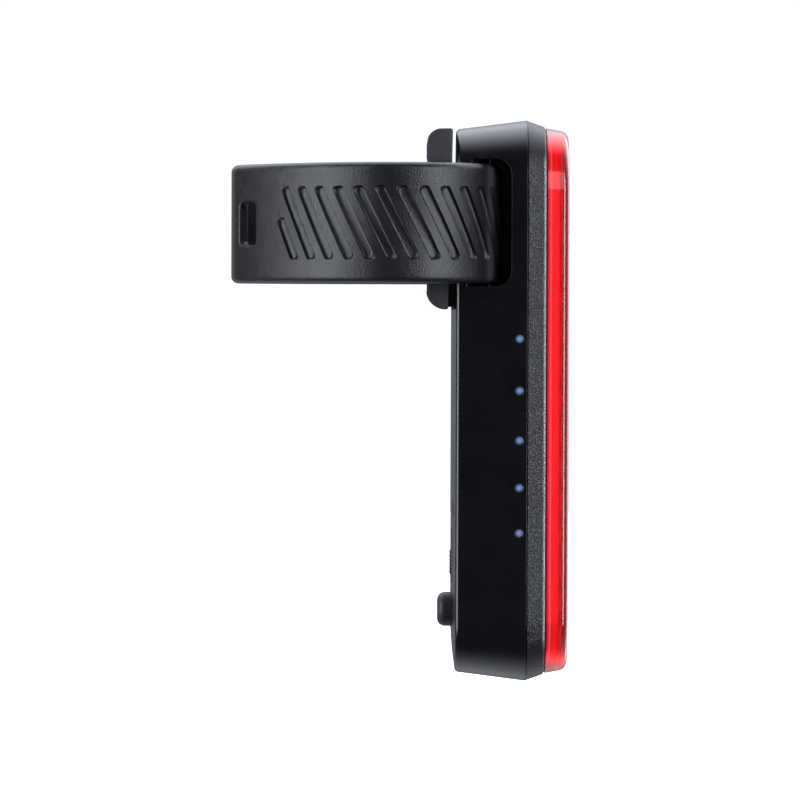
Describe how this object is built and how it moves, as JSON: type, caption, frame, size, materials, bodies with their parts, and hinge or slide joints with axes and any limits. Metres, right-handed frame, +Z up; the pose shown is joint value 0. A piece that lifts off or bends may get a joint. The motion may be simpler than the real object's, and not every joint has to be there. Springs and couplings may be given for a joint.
{
  "type": "bicycle rear light",
  "caption": "Slim upright rear light with a red lens, black case, rubber post pad, press button, charge port cover and a grooved silicone strap that hooks round a seatpost.",
  "frame": {"origin": "on the axis of the seatpost, at the mid height of the strap", "axes": "+X from the post to the lens, +Y to the hook side, +Z up along the post"},
  "size_m": [0.0507, 0.0307, 0.084],
  "materials": {
    "case_black": "satin black moulding",
    "frame_grey": "fine spark texture",
    "lens_red": "clear polished red",
    "guide_red": "bright translucent red",
    "seal_black": "matte",
    "seal_red": "matte",
    "white_plastic": "matte",
    "board_green": "solder mask",
    "led_amber": "clear",
    "dot_blue": "clear",
    "chip_black": "matte",
    "ferrite_grey": "matte",
    "ceramic_tan": "matte",
    "steel": "bright",
    "ivory_plastic": "matte",
    "plunger_grey": "matte",
    "button_rubber": "matte",
    "battery_foil": "satin foil",
    "wire_red": "satin",
    "pad_rubber": "matte",
    "strap_silicone": "matte, fine grain"
  },
  "bodies": {
    "case": {"rear_case": "case_black", "front_bezel": "frame_grey", "red_lens": "lens_red", "light_guide": "guide_red", "case_gasket": "seal_black", "lens_gasket": "seal_red", "reflector_tray": "white_plastic", "led_board": "board_green", "red_leds": "led_amber", "indicator_leds": "dot_blue", "indicator_pipes": "dot_blue", "driver_chip": "chip_black", "power_inductor": "ferrite_grey", "chip_capacitors": "ceramic_tan", "control_board": "board_green", "board_link": "chip_black", "board_screws": "steel", "case_screws": "steel", "screw_plugs": "button_rubber", "usb_shell": "steel", "usb_tongue": "chip_black", "switch_body": "chip_black", "button_seal": "seal_black", "cover_root": "button_rubber", "battery_cell": "battery_foil", "battery_foam": "white_plastic", "battery_leads": "wire_red", "battery_plug": "ivory_plastic", "saddle_pad": "pad_rubber", "strap_pin": "steel"},
    "button": {"mode_button": "button_rubber", "button_plunger": "plunger_grey", "switch_stem": "ivory_plastic"},
    "cover": {"port_cover": "button_rubber"},
    "strap": {"strap_band": "strap_silicone"},
    "tail": {"strap_tail": "strap_silicone"}
  },
  "joints": [
    {"name": "button_press", "type": "slide", "parent": "case", "child": "button", "axis": [1, 0, 0], "range_m": [0, 0.0006], "stiffness_N_per_m": 2500},
    {"name": "cover_open", "type": "hinge", "parent": "case", "child": "cover", "pos_m": [0.0152, 0, -0.0457], "axis": [0, 1, 0], "range_deg": [0, 100]},
    {"name": "strap_swing", "type": "hinge", "parent": "case", "child": "strap", "pos_m": [0.0208, 0, 0], "axis": [0, 0, 1], "range_deg": [0, 5]},
    {"name": "tail_open", "type": "hinge", "parent": "strap", "child": "tail", "pos_m": [-0.01795, 0.00426, 0], "axis": [0, 0, 1], "range_deg": [0, 75]}
  ]
}
